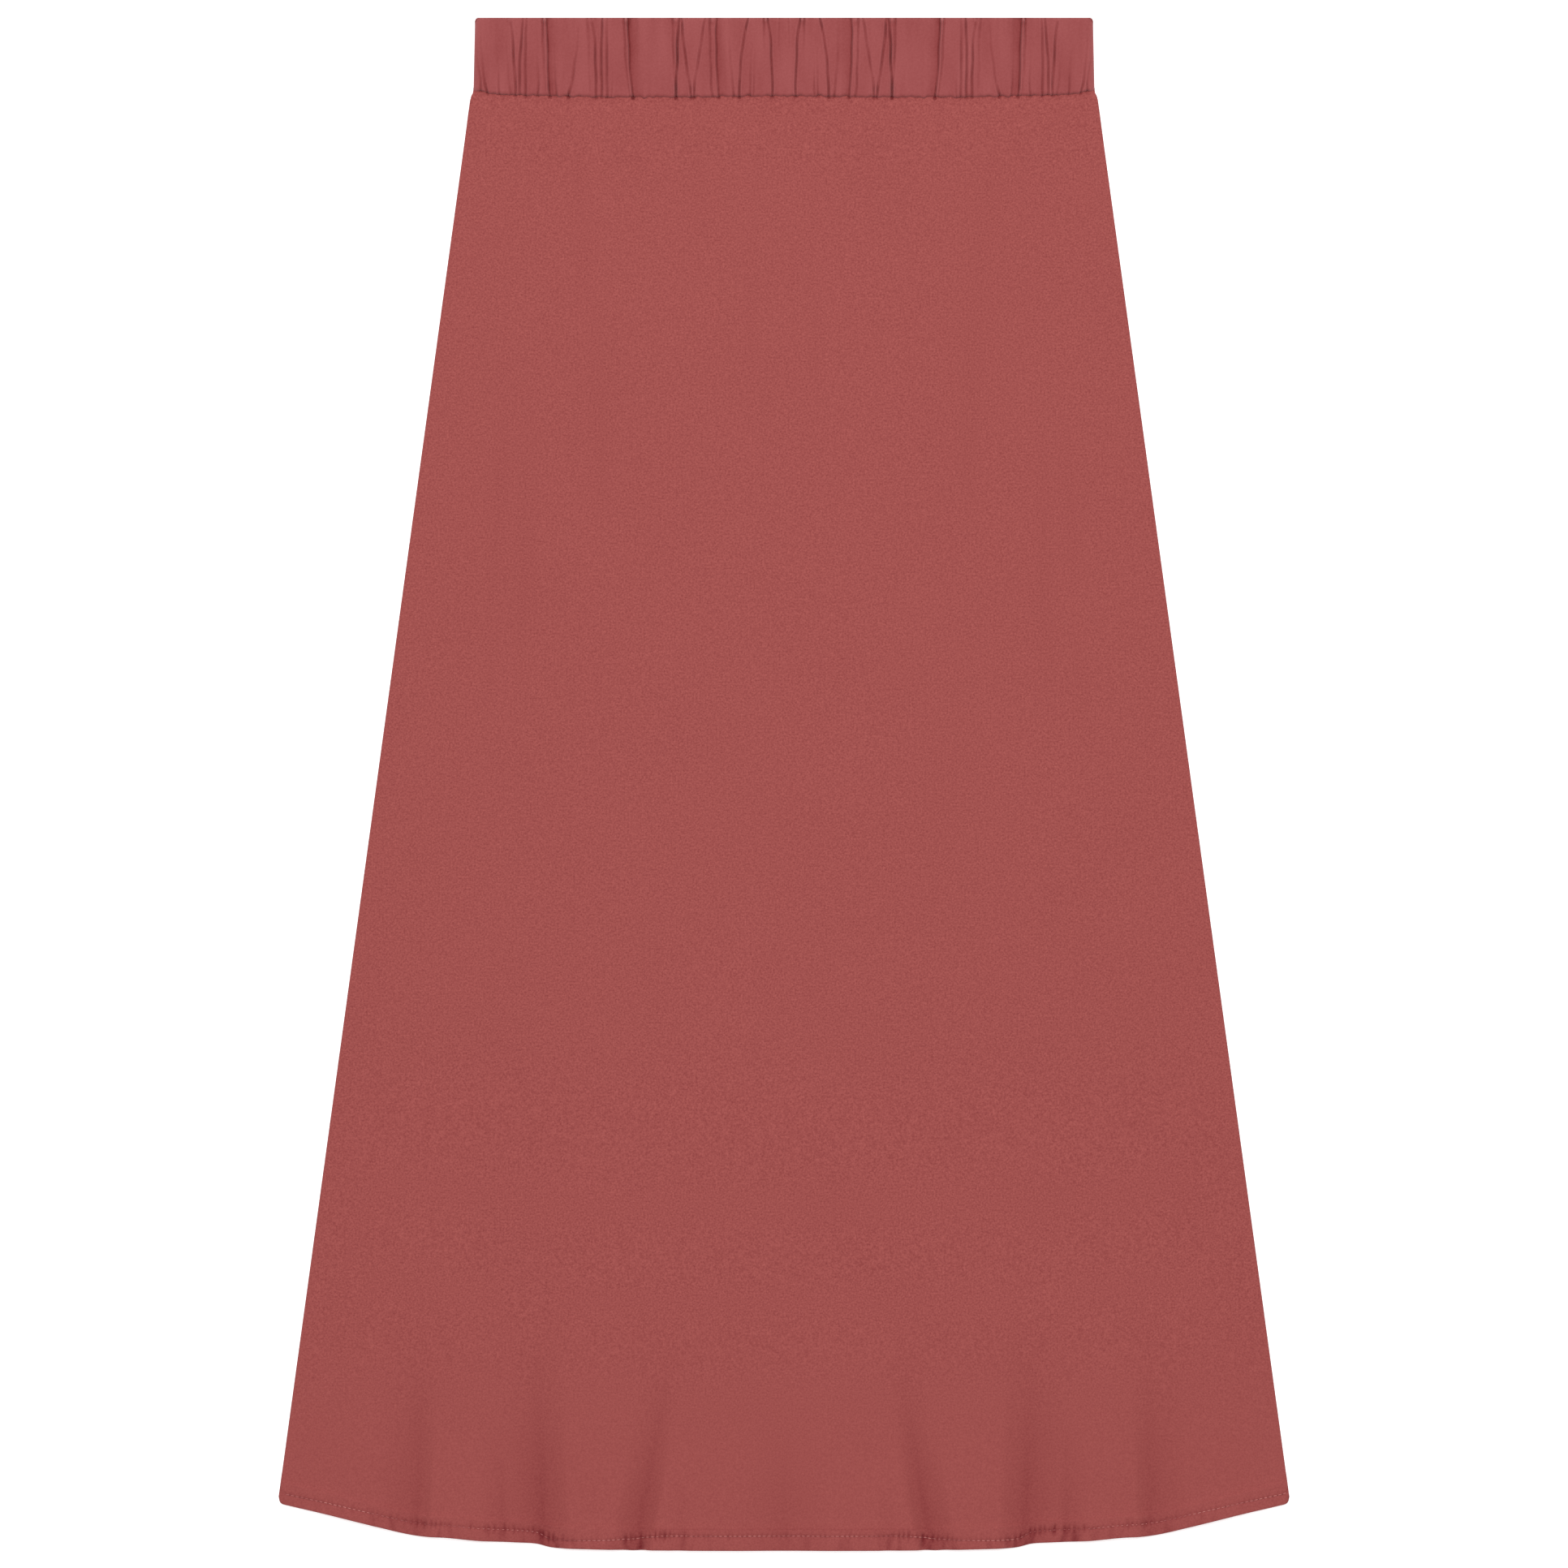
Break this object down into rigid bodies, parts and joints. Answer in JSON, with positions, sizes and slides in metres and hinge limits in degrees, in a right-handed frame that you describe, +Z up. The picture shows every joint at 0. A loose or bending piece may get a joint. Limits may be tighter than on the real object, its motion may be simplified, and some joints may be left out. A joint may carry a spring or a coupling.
{
  "type": "flared midi skirt",
  "caption": "Flared midi skirt laid flat with its front up, with a gathered elastic waistband, softly fluted hem and narrow topstitched edge.",
  "frame": {"origin": "middle of the skirt's box, on the surface that it lies on", "axes": "+X across the skirt, +Y from the hem to the waist, +Z up from the surface, through the back panel to the front panel"},
  "size_m": [0.5598, 0.8496, 0.0072],
  "materials": {
    "panel_crepe": "matt crepe with a fine grain",
    "waistband_crepe": "smoother side of the crepe, gathered over elastic"
  },
  "bodies": {
    "root": {"front_panel": "panel_crepe", "back_panel": "panel_crepe", "waistband_front": "waistband_crepe", "waistband_back": "waistband_crepe"}
  },
  "joints": []
}
